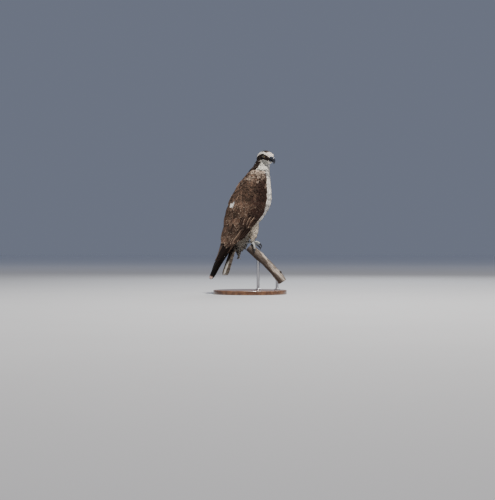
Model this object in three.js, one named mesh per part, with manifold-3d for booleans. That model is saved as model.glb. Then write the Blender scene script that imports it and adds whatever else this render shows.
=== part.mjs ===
// An osprey at rest on the broken end of a bare branch, held by a plain display stand.
// Millimetres, +Z up. The origin is the middle of the base's underside. The bird faces +X and
// turns its head towards -Y. Its right side is the -Y side, and the left side mirrors it.

import * as THREE from 'three';
import { mergeVertices } from 'three/addons/utils/BufferGeometryUtils.js';
import Module from 'manifold-3d';

const wasm = await Module();
wasm.setup();

// Driving dimensions
const GAP = 0.3;
const BASE_RADIUS = 145;
const BASE_THICKNESS = 16;
const BASE_EDGE = 3;
const ROD_RADIUS = 6;
const ROD_PLACES = [32, 107];
const PERCH_RADIUS = 17.5;
const HEAD_CENTRE = new THREE.Vector3(62, -9, 538.5);
const HEAD_YAW = -50;
const HEAD_PITCH = 12;
const HEAD_FRONT = 33;
const EYE_RADIUS = 8;
const EYE_PLACE = new THREE.Vector3(12.5, 18, 5);
const NECK_TOP = 513;
const NECK_BOTTOM = 484;
const ANKLE_HEIGHT = 213;
const TAIL_ROOT = new THREE.Vector3(-38, 0, 261);
const TAIL_LENGTH = 200;
const TAIL_CORE_LENGTH = 100;
const TAIL_LEAN = 19;

// Body slices from the vent up to the inside of the head: height, front, back, half width
const BODY_SLICES = [
  [172, -30, -58, 9],
  [190, -12, -66, 19],
  [213, -1, -79, 30],
  [233, 5, -84, 38],
  [253, 14, -87, 46],
  [273, 28, -86, 52],
  [292, 47, -84, 56],
  [312, 61, -83, 59],
  [332, 73, -80, 62],
  [352, 82, -75, 64],
  [372, 86, -69, 64],
  [391, 86, -62, 63],
  [411, 85, -53, 61],
  [431, 83, -42, 57],
  [450, 82, -27, 52],
  [466, 80, -12, 45],
  [482, 79, 0, 38],
  [498, 78, 9, 33],
  [512, 78, 17, 30],
  [528, 76, 26, 27],
];

// Head slices in the head's own frame, x forward: place, top, bottom, half width
const HEAD_SLICES = [
  [-40, 0, -13.5, 5.5],
  [-37, 9, -22.5, 13.5],
  [-30, 17, -30, 20],
  [-19, 23.5, -34, 24.5],
  [-7, 27, -32.5, 27],
  [4.5, 27.5, -30, 27],
  [14.5, 25, -26.5, 25.2],
  [22.5, 21.5, -23, 22],
  [28.5, 17, -19, 17.5],
  [HEAD_FRONT, 12, -15, 13],
];

// Wing rows from the shoulder to the tips. L is the lower, leading edge and D the edge that lies
// on the back: x and z of each, then how far out each lies, and how far the row bulges past them.
const WING_ROWS = [
  [49, 486, 8, 490, 34, 30, 9],
  [62, 466, -14, 470, 43, 24, 18],
  [65.5, 419, -49, 427, 46, 18, 34],
  [64, 371, -76, 375, 50, 16, 37],
  [54, 323, -95, 320, 53, 14, 34],
  [12, 270, -101, 265, 52, 13, 24],
  [-24, 227, -113, 213, 43, 11, 13],
  [-71, 182, -132, 148, 34, 11, 7],
  [-109, 122, -163, 94, 26, 12, 3],
  [-142, 63, -172, 55, 20, 13, 1],
];
const WING_DEPTHS = [20, 22, 22, 22, 20, 15, 8, 5, 3.5, 2];
const WING_CORE_END = 7.3;

// Tiers of the wing's feathers, from the shoulder down. roots and tips say where on the wing they
// lie: the row of the tier's first and last feather, then the share of the first and the last.
const WING_TIERS = [
  { count: 4, roots: [0.2, 0.2, 0.14, 0.88], tips: [1.45, 1.5, 0.12, 0.88], half: 13 },
  { count: 5, roots: [1.1, 1.2, 0.09, 0.92], tips: [2.3, 2.4, 0.08, 0.9], half: 16 },
  { count: 5, roots: [2.05, 2.15, 0.07, 0.93], tips: [3.2, 3.3, 0.07, 0.92], half: 18 },
  { count: 5, roots: [2.95, 3.05, 0.07, 0.93], tips: [4.15, 4.2, 0.07, 0.92], half: 18 },
  { count: 4, roots: [3.9, 3.9, 0.08, 0.56], tips: [5.2, 5.0, 0.08, 0.58], half: 13 },
  { count: 2, roots: [3.9, 3.9, 0.74, 0.91], tips: [5.2, 5.4, 0.74, 0.9], half: 16 },
];
const SECONDARIES = { count: 5, roots: [4.9, 4.8, 0.08, 0.52], tips: [6.3, 6.9, 0.08, 0.62], half: 10.5 };
const TERTIALS = { count: 3, roots: [4.9, 5.0, 0.62, 0.92], tips: [6.5, 6.1, 0.66, 0.93], half: 13 };
const PRIMARIES = { count: 6, roots: [6.1, 6.1, 0.72, 0.2], tips: [7.6, 9, 0.7, 0.42], half: 10 };
const RECTRICES = 12;
const TAIL_SEED = 6;
const WING_SEED = 7;

// Solids from points and triangles
function signedVolume(positions, triangles) {
  const [a, b, c] = [new THREE.Vector3(), new THREE.Vector3(), new THREE.Vector3()];
  let volume = 0;
  for (let i = 0; i < triangles.length; i += 3) {
    a.fromArray(positions, triangles[i] * 3);
    b.fromArray(positions, triangles[i + 1] * 3);
    c.fromArray(positions, triangles[i + 2] * 3);
    volume += a.dot(b.cross(c)) / 6;
  }
  return volume;
}

function solidFromGeometry(source) {
  const geometry = source.clone();
  geometry.deleteAttribute('normal');
  geometry.deleteAttribute('uv');
  const merged = mergeVertices(geometry, 1e-4);
  const positions = Float32Array.from(merged.attributes.position.array);
  const triangles = [];
  const index = merged.index.array;
  for (let i = 0; i < index.length; i += 3) {
    const [a, b, c] = [index[i], index[i + 1], index[i + 2]];
    if (a !== b && b !== c && c !== a) triangles.push(a, b, c);
  }
  if (signedVolume(positions, triangles) < 0) triangles.reverse();
  const mesh = { numProp: 3, vertProperties: positions, triVerts: Uint32Array.from(triangles) };
  return new wasm.Manifold(new wasm.Mesh(mesh));
}

function solidFromPoints(points, triangles) {
  const geometry = new THREE.BufferGeometry();
  geometry.setAttribute('position', new THREE.Float32BufferAttribute(points.flatMap((p) => p.toArray()), 3));
  geometry.setIndex(triangles);
  return solidFromGeometry(geometry);
}

// A closed body through rings of an even number of points, each end filled by strips across it
function loft(rings) {
  const sides = rings[0].length;
  const points = rings.flat();
  const triangles = [];
  for (let r = 0; r + 1 < rings.length; r += 1) {
    for (let i = 0; i < sides; i += 1) {
      const next = (i + 1) % sides;
      const [a, b] = [r * sides + i, r * sides + next];
      const [c, d] = [a + sides, b + sides];
      triangles.push(a, b, d, a, d, c);
    }
  }
  const last = (rings.length - 1) * sides;
  for (let i = 0; i < sides / 2 - 1; i += 1) {
    const [a, b, c, d] = [i, i + 1, sides - 2 - i, sides - 1 - i];
    triangles.push(a, c, b, last + a, last + b, last + c);
    if (c !== b) triangles.push(a, d, c, last + a, last + c, last + d);
  }
  return solidFromPoints(points, triangles);
}

// A smooth reading between the rows of a table, by its first column or by the row number
function smoothTable(rows, keys) {
  const size = rows[0].length;
  const spline = new THREE.CubicInterpolant(keys, rows.flat(), size, new Float32Array(size));
  return (key) => Array.from(spline.evaluate(key));
}

const bodySlice = smoothTable(BODY_SLICES.map((row) => row.slice(1)), BODY_SLICES.map((row) => row[0]));
const headSlice = smoothTable(HEAD_SLICES.map((row) => row.slice(1)), HEAD_SLICES.map((row) => row[0]));
const wingRow = smoothTable(WING_ROWS, WING_ROWS.map((row, i) => i));
const wingDepth = smoothTable(WING_DEPTHS.map((depth) => [depth]), WING_DEPTHS.map((depth, i) => i));

// A tapering limb along a curve. size gives the half width and half height at each share of the way.
function sweep({ path, steps, sides, size, lateral, from = 0, to = 1, grow = 0 }) {
  const curve = new THREE.CatmullRomCurve3(path);
  const rings = [];
  for (let i = 0; i <= steps; i += 1) {
    const u = from + ((to - from) * i) / steps;
    const centre = curve.getPointAt(u);
    const tangent = curve.getTangentAt(u);
    const up = new THREE.Vector3().crossVectors(tangent, lateral).normalize();
    const side = new THREE.Vector3().crossVectors(up, tangent).normalize();
    const [halfWidth, halfHeight] = size(u).map((half) => half + grow);
    const ring = [];
    for (let k = 0; k < sides; k += 1) {
      const angle = (2 * Math.PI * k) / sides;
      ring.push(centre.clone()
        .addScaledVector(side, halfWidth * Math.cos(angle))
        .addScaledVector(up, halfHeight * Math.sin(angle)));
    }
    rings.push(ring);
  }
  return loft(rings);
}

function join(solids) {
  return solids.reduce((whole, solid) => whole.add(solid));
}

function cut(solid, tools) {
  return tools.reduce((rest, tool) => rest.subtract(tool), solid);
}

function largest(solid) {
  return solid.decompose().sort((a, b) => b.volume() - a.volume())[0];
}

function placed(solid, matrix) {
  return solid.transform(matrix.elements);
}

// A feather's vane. place(u) gives the middle and the outward normal at each share of its length.
// Its root lies inside what it grows from, and its two faces have the same triangles.
function vane({ place, steps, across, halfWidth, thickness, rootOut, tipOut, tilt }) {
  const faces = [[], []];
  for (let i = 0; i <= steps; i += 1) {
    const u = i / steps;
    const { middle, normal } = place(u);
    const along = place(u + 0.02).middle.sub(place(u - 0.02).middle).normalize();
    const side = new THREE.Vector3().crossVectors(along, normal).normalize();
    const rounding = Math.sqrt(Math.max(0.06, 1 - Math.max(0, (u - 0.62) / 0.38) ** 2.4));
    const reach = halfWidth * Math.min(1, 0.62 + 0.9 * u) * rounding;
    const half = (thickness / 2) * (1 - 0.45 * u);
    for (let j = 0; j < across; j += 1) {
      const share = (2 * j) / (across - 1) - 1;
      const camber = 0.09 * reach * (1 - share * share);
      const out = rootOut + (tipOut - rootOut) * u + tilt * reach * share + camber;
      const point = middle.clone().addScaledVector(side, reach * share);
      faces[0].push(point.clone().addScaledVector(normal, out + half));
      faces[1].push(point.addScaledVector(normal, out - half));
    }
  }
  const below = faces[0].length;
  const triangles = [];
  const quad = (a, b, c, d) => triangles.push(a, b, c, a, c, d);
  for (let i = 0; i < steps; i += 1) {
    for (let j = 0; j + 1 < across; j += 1) {
      const a = i * across + j;
      quad(a, a + 1, a + across + 1, a + across);
      triangles.push(below + a, below + a + across + 1, below + a + 1);
      triangles.push(below + a, below + a + across, below + a + across + 1);
    }
    const [first, last] = [i * across, i * across + across - 1];
    quad(first + across, below + first + across, below + first, first);
    quad(last, below + last, below + last + across, last + across);
  }
  for (let j = 0; j + 1 < across; j += 1) {
    const tip = steps * across + j;
    quad(j, below + j, below + j + 1, j + 1);
    quad(tip + 1, below + tip + 1, below + tip, tip);
  }
  return solidFromPoints([...faces[0], ...faces[1]], triangles);
}

const MIRROR = new THREE.Matrix4().makeScale(1, -1, 1);

// Body, neck and head
function bodySolid(grow) {
  const sides = 20;
  const lowest = BODY_SLICES[0][0] - grow;
  const highest = BODY_SLICES[BODY_SLICES.length - 1][0] + grow;
  const rings = [];
  const steps = 17;
  for (let i = 0; i <= steps; i += 1) {
    const z = lowest + ((highest - lowest) * i) / steps;
    const [front, back, halfWidth] = bodySlice(z);
    const [middle, depth] = [(front + back) / 2, (front - back) / 2 + grow];
    const ring = [];
    for (let k = 0; k < sides; k += 1) {
      const angle = (2 * Math.PI * k) / sides;
      const y = (halfWidth + grow) * Math.sin(angle);
      ring.push(new THREE.Vector3(middle + depth * Math.cos(angle), y, z));
    }
    rings.push(ring);
  }
  return loft(rings);
}

function bodyHalfWidthAt(x, z) {
  const [front, back, halfWidth] = bodySlice(z);
  const share = (x - (front + back) / 2) / ((front - back) / 2);
  return halfWidth * Math.sqrt(Math.max(0, 1 - share * share));
}

const lateral = new THREE.Vector3(0, 1, 0);

function undertailSolid(grow) {
  const path = [[-26, 238], [-38, 205], [-43, 178], [-42.5, 148]].map(([x, z]) => new THREE.Vector3(x, 0, z));
  const size = (u) => [20 * (1 - u * u) + 3, 17 * (1 - u * u) + 2];
  return sweep({ path, steps: 5, sides: 12, size, lateral, grow });
}

const headPlace = new THREE.Matrix4().makeRotationFromEuler(
  new THREE.Euler(0, THREE.MathUtils.degToRad(HEAD_PITCH), THREE.MathUtils.degToRad(HEAD_YAW), 'ZYX'),
).setPosition(HEAD_CENTRE);

function skullSolid() {
  const sides = 18;
  const steps = 11;
  const [first, last] = [HEAD_SLICES[0][0], HEAD_FRONT];
  const rings = [];
  for (let i = 0; i <= steps; i += 1) {
    const share = 0.5 - 0.5 * Math.cos((Math.PI * i) / steps);
    const x = first + (last - first) * share;
    const [top, bottom, halfWidth] = headSlice(x);
    const ring = [];
    for (let k = 0; k < sides; k += 1) {
      const angle = (2 * Math.PI * k) / sides;
      const z = (top + bottom) / 2 + ((top - bottom) / 2) * Math.sin(angle);
      ring.push(new THREE.Vector3(x, halfWidth * Math.cos(angle), z));
    }
    rings.push(ring);
  }
  return loft(rings);
}

function eyeball(side, grow) {
  const sphere = new THREE.SphereGeometry(EYE_RADIUS + grow, 12, 8);
  sphere.translate(EYE_PLACE.x, side * EYE_PLACE.y, EYE_PLACE.z);
  return solidFromGeometry(sphere);
}

// The ring of the lids and the brow that overhangs it
function lidsAndBrow(side) {
  const lids = new THREE.TorusGeometry(5.9, 1.5, 5, 12);
  lids.rotateX(Math.PI / 2);
  lids.rotateZ(side * -0.22);
  lids.translate(EYE_PLACE.x + 1.4, side * (EYE_PLACE.y + 5.6), EYE_PLACE.z);
  const path = [[24.5, 13.5, 11.5], [19, 20, 13.5], [11.5, 24, 14], [0, 24.4, 13]]
    .map(([x, y, z]) => new THREE.Vector3(x, side * y, z));
  const size = (u) => [1.2 + 2 * Math.sin(Math.PI * u), 1.2 + 1.6 * Math.sin(Math.PI * u)];
  const brow = sweep({ path, steps: 5, sides: 6, size, lateral: new THREE.Vector3(0, 0, 1) });
  return [solidFromGeometry(lids), brow];
}

function mouthSlit(side) {
  const slit = new THREE.BoxGeometry(16, 4.4, 1);
  slit.rotateZ(side * -0.42);
  slit.rotateY(0.1);
  slit.translate(27, side * 18, -6);
  return solidFromGeometry(slit);
}

const BILL_PATH = [[33.3, 2.4], [40, 2.6], [46.5, 0.6], [51.4, -4], [53.8, -10], [53.2, -17.5]]
  .map(([x, z]) => new THREE.Vector3(x, 0, z));

function upperBill(grow) {
  const size = (u) => [9 * Math.sqrt(Math.max(0, 1 - u)) + 0.3, 7.7 * (1 - u ** 1.8) + 0.3];
  return sweep({ path: BILL_PATH, steps: 10, sides: 12, size, lateral, grow });
}

function nostril(side) {
  const slit = new THREE.SphereGeometry(1, 8, 6);
  slit.scale(2.4, 1.6, 0.8);
  slit.rotateY(-0.6);
  slit.translate(38.5, side * 8.7, 5);
  return solidFromGeometry(slit);
}

function lowerBill() {
  const path = [[33.3, -7.4], [40, -7.8], [46, -9.2], [50, -11.2]]
    .map(([x, z]) => new THREE.Vector3(x, 0, z));
  const size = (u) => [8 * Math.sqrt(Math.max(0, 1 - u ** 1.4)) + 0.4, 4.1 * (1 - u ** 1.6) + 0.4];
  return sweep({ path, steps: 6, sides: 12, size, lateral });
}

// Wings. A point on the right wing's outer surface, from the row and the share from L to D.
function wingSurface(row, share) {
  const [lx, lz, dx, dz, lOut, dOut, bulge] = wingRow(row);
  const x = lx + (dx - lx) * share;
  const z = lz + (dz - lz) * share;
  const flat = lOut + (dOut - lOut) * share + bulge * Math.sin(Math.PI * Math.min(1, Math.max(0, share)));
  return new THREE.Vector3(x, -Math.max(flat, bodyHalfWidthAt(x, z) + 5), z);
}

function wingNormal(row, share) {
  const step = 0.04;
  const down = wingSurface(row + step, share).sub(wingSurface(row - step, share));
  const back = wingSurface(row, share + step).sub(wingSurface(row, share - step));
  const normal = new THREE.Vector3().crossVectors(back, down).normalize();
  return normal.y > 0 ? normal.negate() : normal;
}

// The feathers of one tier, each a little different from the last
function tierOf(tier, { steps, across, thickness, rootOut, tipOut, stack, tilt }) {
  const between = (a, b, share) => a + (b - a) * share;
  const onWing = ([row0, row1, at0, at1], share) => [between(row0, row1, share), between(at0, at1, share)];
  return Array.from({ length: tier.count }, (_, i) => {
    const share = tier.count > 1 ? i / (tier.count - 1) : 0;
    const stray = () => THREE.MathUtils.seededRandom() - 0.5;
    const root = onWing(tier.roots, share);
    const tip = onWing(tier.tips, share);
    tip[0] += 0.12 * stray();
    tip[1] += 0.02 * stray();
    const place = (u) => {
      const [row, at] = [root[0] + (tip[0] - root[0]) * u, root[1] + (tip[1] - root[1]) * u];
      return { middle: wingSurface(row, at), normal: wingNormal(row, at) };
    };
    const out = stack * i;
    return vane({
      place, steps, across, thickness, tilt,
      halfWidth: tier.half * (1 + 0.1 * stray()),
      rootOut: rootOut + out,
      tipOut: tipOut + out,
    });
  });
}

function wingFeathers() {
  THREE.MathUtils.seededRandom(WING_SEED);
  const covert = { steps: 2, across: 2, thickness: 1.4, rootOut: -2, tipOut: 3, stack: 0, tilt: 0.07 };
  const flight = { steps: 3, across: 2, thickness: 1.3, rootOut: -1.6, tipOut: 1.4, stack: 0, tilt: 0.07 };
  const primary = { steps: 3, across: 2, thickness: 1.1, rootOut: 0, tipOut: 1, stack: -0.75, tilt: 0 };
  return [
    ...WING_TIERS.flatMap((tier) => tierOf(tier, covert)),
    ...tierOf(SECONDARIES, flight),
    ...tierOf(TERTIALS, { ...flight, tipOut: 3 }),
    ...tierOf(PRIMARIES, primary),
  ];
}

function wingCore(grow) {
  const last = WING_CORE_END;
  const across = 6;
  const steps = 11;
  const rings = [];
  for (let i = 0; i <= steps; i += 1) {
    const row = (last * i) / steps;
    const [depth] = wingDepth(row);
    const ring = [];
    for (let k = 0; k <= across; k += 1) {
      const share = k / across;
      ring.push(wingSurface(row, share).addScaledVector(wingNormal(row, share), grow));
    }
    for (let k = across; k >= 0; k -= 1) {
      const share = k / across;
      const edge = Math.sin(Math.PI * share) ** 0.5;
      const inner = wingSurface(row, share);
      inner.y = Math.min(inner.y + depth * (0.35 + 0.65 * edge) + grow, -6 + grow);
      ring.push(inner);
    }
    rings.push(ring);
  }
  return loft(rings);
}

// Tail. A point on the tent of the tail, from how far down and how far to the side it is.
const tailAngle = THREE.MathUtils.degToRad(TAIL_LEAN);
const tailDown = new THREE.Vector3(-Math.sin(tailAngle), 0, -Math.cos(tailAngle));
const tailBack = new THREE.Vector3(-Math.cos(tailAngle), 0, Math.sin(tailAngle));

function tailPoint(down, side, out) {
  const tent = 9 - 0.74 * Math.hypot(side, 4);
  return TAIL_ROOT.clone()
    .addScaledVector(tailDown, down)
    .addScaledVector(tailBack, tent + out)
    .add(new THREE.Vector3(0, side, 0));
}

function tailCore(grow, length) {
  const across = 8;
  const steps = 10;
  const rings = [];
  for (let i = 0; i <= steps; i += 1) {
    const down = 4 + ((length - 4) * i) / steps;
    const halfWidth = 18 + 11 * (down / TAIL_LENGTH) + grow;
    const thickness = Math.max(1.2, 11 * (1 - down / 120));
    const ring = [];
    for (let k = 0; k <= across; k += 1) {
      ring.push(tailPoint(down, halfWidth * ((2 * k) / across - 1), grow));
    }
    for (let k = across; k >= 0; k -= 1) {
      const share = (2 * k) / across - 1;
      const edge = 0.4 + 0.6 * Math.sqrt(Math.max(0, 1 - share * share));
      ring.push(tailPoint(down, halfWidth * share, -thickness * edge - grow));
    }
    rings.push(ring);
  }
  return loft(rings);
}

// The tail's feathers, the middle pair on top and each pair outwards under the last
function tailFeathers() {
  THREE.MathUtils.seededRandom(TAIL_SEED);
  return Array.from({ length: RECTRICES }, (_, i) => {
    const stray = THREE.MathUtils.seededRandom() - 0.5;
    const k = i - (RECTRICES - 1) / 2;
    const tip = TAIL_LENGTH - 1.4 * Math.abs(k) + 2 * stray;
    const place = (u) => {
      const [down, side] = [78 + 3 * stray + (tip - 78) * u, k * (3.2 + 1.2 * u) + 0.7 * stray];
      return { middle: tailPoint(down, side, 0), normal: tailBack };
    };
    const tilt = (0.03 * stray - 0.58) * Math.sign(k);
    const halfWidth = 8 + 0.6 * stray;
    const rootOut = 0.2 * stray - 1;
    return vane({ place, steps: 3, across: 2, halfWidth, thickness: 1.2, rootOut, tipOut: 0, tilt });
  });
}

// Legs and feet of the right side
function thighSolid(grow) {
  const path = [
    [8, -30, 322], [12, -29, 285], [15, -27, 262], [16, -24, 240], [11, -20, 220], [9.5, -18.5, 208],
  ].map((point) => new THREE.Vector3(...point));
  const size = (u) => [17.5 - 11 * u ** 3, 27 - 19.5 * u ** 1.6];
  return sweep({ path, steps: 8, sides: 14, size, lateral, grow });
}

// Each digit runs from the sole to the claw's tip. The third number of each row is the height.
const DIGITS = {
  middle: {
    path: [[12, -15, 204], [25, -16, 206], [35, -15, 201], [45.5, -14, 189], [41, -12, 177]],
    toe: 0.52,
  },
  inner: {
    path: [[12, -13, 203], [22, -8, 199], [30, -7, 193], [41, -7, 180], [38, -6, 170]],
    toe: 0.5,
  },
  outer: {
    path: [[11, -17, 202], [15, -26, 194], [18, -29, 182], [17, -28, 165], [11, -21, 156]],
    toe: 0.52,
  },
  hind: {
    path: [[12, -14, 204], [-2, -12, 205], [-14, -11, 199], [-25, -11, 186], [-16, -11, 172]],
    toe: 0.48,
  },
};

function digitPart(digit, from, to, grow = 0) {
  const path = digit.path.map(([x, y, z]) => new THREE.Vector3(x, y, z));
  const size = (u) => {
    const toe = 5.2 - 1.4 * (u / digit.toe) + 0.5 * Math.cos(12 * u);
    const claw = 3.7 * Math.max(0, 1 - (u - digit.toe) / (1 - digit.toe)) + 0.25;
    const half = u <= digit.toe ? toe : claw;
    return [half, half];
  };
  return sweep({ path, steps: 6, sides: 8, size, lateral: new THREE.Vector3(0.1, 1, 0.1), from, to, grow });
}

function shank() {
  const path = [[11, -19, 218], [11, -18, 210], [12, -15, 204]].map((p) => new THREE.Vector3(...p));
  const size = () => [6.4, 7.2];
  return sweep({ path, steps: 2, sides: 8, size, lateral });
}

// Perch, with its broken upper end, a knot and a sawn lower end
const PERCH_PATH = [[-4, 187], [36, 150], [69, 119], [99, 87], [124, 55.5], [129, 48]]
  .map(([x, z]) => new THREE.Vector3(x, 0, z));

function perchSolid(grow) {
  const size = (u) => {
    const half = PERCH_RADIUS + 1.1 * Math.sin(9 * u) + 0.7 * Math.sin(23 * u + 1);
    return [half, half * 0.97];
  };
  const limb = sweep({ path: PERCH_PATH, steps: 13, sides: 14, size, lateral, grow });
  const knotPath = [[112, -6, 76], [118, -9, 84], [122, -11, 90]].map((p) => new THREE.Vector3(...p));
  const knotSize = (u) => [9 - 4 * u, 9 - 4 * u];
  return limb.add(sweep({ path: knotPath, steps: 3, sides: 8, size: knotSize, lateral, grow }));
}

function rod(x) {
  const top = 190 - x;
  const shape = new THREE.CylinderGeometry(ROD_RADIUS, ROD_RADIUS, top - BASE_THICKNESS - GAP, 16);
  shape.rotateX(Math.PI / 2);
  shape.translate(x, 0, (top + BASE_THICKNESS + GAP) / 2);
  return solidFromGeometry(shape);
}

function baseSolid() {
  const profile = [
    [0, 0],
    [BASE_RADIUS, 0],
    [BASE_RADIUS, BASE_THICKNESS - BASE_EDGE],
    [BASE_RADIUS - BASE_EDGE, BASE_THICKNESS],
    [0, BASE_THICKNESS],
  ].map(([radius, z]) => new THREE.Vector2(radius, z));
  const disc = new THREE.LatheGeometry(profile, 36);
  disc.rotateX(Math.PI / 2);
  return solidFromGeometry(disc);
}

// Assembly. The right side's pieces are mirrored to make the left side's.
const perchClear = perchSolid(GAP);
const bodyClear = bodySolid(GAP + 0.1).add(undertailSolid(GAP + 0.1));
const tailClear = tailCore(GAP + 0.1, TAIL_CORE_LENGTH + 1);
const wingClear = wingCore(GAP + 0.1);

const skull = placed(cut(
  join([skullSolid(), ...lidsAndBrow(1), ...lidsAndBrow(-1)]),
  [eyeball(1, GAP), eyeball(-1, GAP), mouthSlit(1), mouthSlit(-1)],
), headPlace);
const flesh = bodySolid(0).add(undertailSolid(0)).add(skull);
const neckNormal = [Math.sin(-0.25), 0, Math.cos(-0.25)];
const neckTopAt = neckNormal[0] * 55 + neckNormal[2] * NECK_TOP;
const [head, trunk] = flesh.splitByPlane(neckNormal, neckTopAt);
const [neck, torso] = trunk.splitByPlane([0, 0, 1], NECK_BOTTOM);

const thigh = cut(thighSolid(0), [bodyClear, wingClear]);
const wing = wingCore(0).add(join(wingFeathers()).subtract(thighSolid(GAP))).subtract(bodyClear);
const toes = Object.values(DIGITS).map((digit) => digitPart(digit, 0, digit.toe));
const foot = join([shank(), ...toes]).subtract(perchClear);
const hindToe = DIGITS.hind.toe;
const hindClear = digitPart(DIGITS.hind, 0, hindToe, GAP).add(digitPart(DIGITS.hind, hindToe, 1, GAP));

const [torsoTop, neckFoot] = [NECK_BOTTOM - GAP / 2, NECK_BOTTOM + GAP / 2];
const downwards = neckNormal.map((n) => -n);
const torsoRoom = [tailClear, perchClear, hindClear, placed(hindClear, MIRROR)];

const pieces = {
  head: head.trimByPlane(neckNormal, neckTopAt + GAP / 2),
  neck: neck.trimByPlane(downwards, GAP / 2 - neckTopAt).trimByPlane([0, 0, 1], neckFoot),
  torso: cut(torso.trimByPlane([0, 0, -1], -torsoTop), torsoRoom),
  tail: tailCore(0, TAIL_CORE_LENGTH).add(join(tailFeathers()).subtract(bodyClear)),
  wing_right: wing,
  wing_left: placed(wing, MIRROR),
  thigh_right: thigh.trimByPlane([0, 0, 1], ANKLE_HEIGHT + GAP / 2),
  foot_right: foot.trimByPlane([0, 0, -1], GAP / 2 - ANKLE_HEIGHT),
  bill_upper: placed(cut(upperBill(0), [nostril(1), nostril(-1)]), headPlace),
  bill_lower: placed(lowerBill().subtract(upperBill(GAP)), headPlace),
  eye_right: placed(eyeball(-1, 0), headPlace),
  eye_left: placed(eyeball(1, 0), headPlace),
  perch: perchSolid(0),
  stand_base: baseSolid(),
};
pieces.thigh_left = placed(pieces.thigh_right, MIRROR);
pieces.foot_left = placed(pieces.foot_right, MIRROR);
Object.entries(DIGITS).forEach(([name, digit]) => {
  const claw = digitPart(digit, digit.toe + 0.008, 1).subtract(perchClear);
  pieces[`claw_${name}_right`] = claw;
  pieces[`claw_${name}_left`] = placed(claw, MIRROR);
});
ROD_PLACES.forEach((x, i) => {
  pieces[`stand_rod_${i + 1}`] = rod(x).subtract(perchClear);
});

// Colours
const FINISHES = [
  [/^(wing|tail)/, 0x4a372c, 0.85, 0],
  [/^(head|neck|torso|thigh)/, 0xe9e4da, 0.9, 0],
  [/^foot/, 0xa9a89f, 0.7, 0],
  [/^(claw|bill)/, 0x17181b, 0.35, 0],
  [/^eye/, 0xe0a21c, 0.1, 0],
  [/^perch/, 0xa79c90, 0.85, 0],
  [/^stand_base/, 0x6d4a32, 0.5, 0],
  [/^stand_rod/, 0xb8babd, 0.3, 1],
];

function meshFor(name, solid) {
  const { vertProperties, triVerts, numProp } = largest(solid).getMesh();
  const positions = new Float32Array((vertProperties.length / numProp) * 3);
  for (let i = 0; i < positions.length / 3; i += 1) {
    positions.set(vertProperties.subarray(i * numProp, i * numProp + 3), i * 3);
  }
  const geometry = new THREE.BufferGeometry();
  geometry.setAttribute('position', new THREE.BufferAttribute(positions, 3));
  geometry.setIndex(new THREE.BufferAttribute(Uint32Array.from(triVerts), 1));
  geometry.computeVertexNormals();
  const [, color, roughness, metalness] = FINISHES.find(([pattern]) => pattern.test(name));
  const mesh = new THREE.Mesh(geometry, new THREE.MeshStandardMaterial({ color, roughness, metalness }));
  mesh.name = name;
  return mesh;
}

const group = new THREE.Group();
Object.entries(pieces).forEach(([name, solid]) => group.add(meshFor(name, solid)));

export default group;
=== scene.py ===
import math
from itertools import product

import bmesh
import bpy
import numpy as np
from mathutils import Euler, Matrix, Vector, noise
from mathutils.bvhtree import BVHTree


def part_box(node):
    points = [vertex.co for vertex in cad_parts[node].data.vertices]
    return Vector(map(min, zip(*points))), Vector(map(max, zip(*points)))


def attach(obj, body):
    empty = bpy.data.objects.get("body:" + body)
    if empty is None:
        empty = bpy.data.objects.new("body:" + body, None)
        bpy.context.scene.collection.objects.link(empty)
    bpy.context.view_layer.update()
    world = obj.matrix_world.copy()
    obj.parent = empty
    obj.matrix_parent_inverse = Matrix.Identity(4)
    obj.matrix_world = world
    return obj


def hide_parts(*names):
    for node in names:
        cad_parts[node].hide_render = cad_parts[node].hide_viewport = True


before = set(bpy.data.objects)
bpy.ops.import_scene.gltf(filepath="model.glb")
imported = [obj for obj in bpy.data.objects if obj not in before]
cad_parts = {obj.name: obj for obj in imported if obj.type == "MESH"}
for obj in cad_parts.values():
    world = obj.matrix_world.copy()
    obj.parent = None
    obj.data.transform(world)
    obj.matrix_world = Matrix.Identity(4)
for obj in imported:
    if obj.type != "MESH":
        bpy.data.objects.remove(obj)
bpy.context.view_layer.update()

# Camera
# The photo is taken from far off and level with the branch, with a long lens. The frame is
# 495 by 500 pixels, and each pixel is 3.95 mm at the bird.
MM = 0.001
FRAME_PIXELS = 500
PIXEL = 3.95 * MM
FRAME_HEIGHT = FRAME_PIXELS * PIXEL
DISTANCE = 5.0
AIM = Vector((-0.0099, 0, 0.174))
SENSOR = 36.0
camera_data = bpy.data.cameras.new("camera")
camera_data.sensor_width = SENSOR
camera_data.lens = SENSOR * DISTANCE / FRAME_HEIGHT
camera = bpy.data.objects.new("camera", camera_data)
camera.location = AIM + Vector((0, -DISTANCE, 0))
camera.rotation_euler = (math.radians(90), 0, 0)
bpy.context.collection.objects.link(camera)
bpy.context.scene.camera = camera


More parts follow.
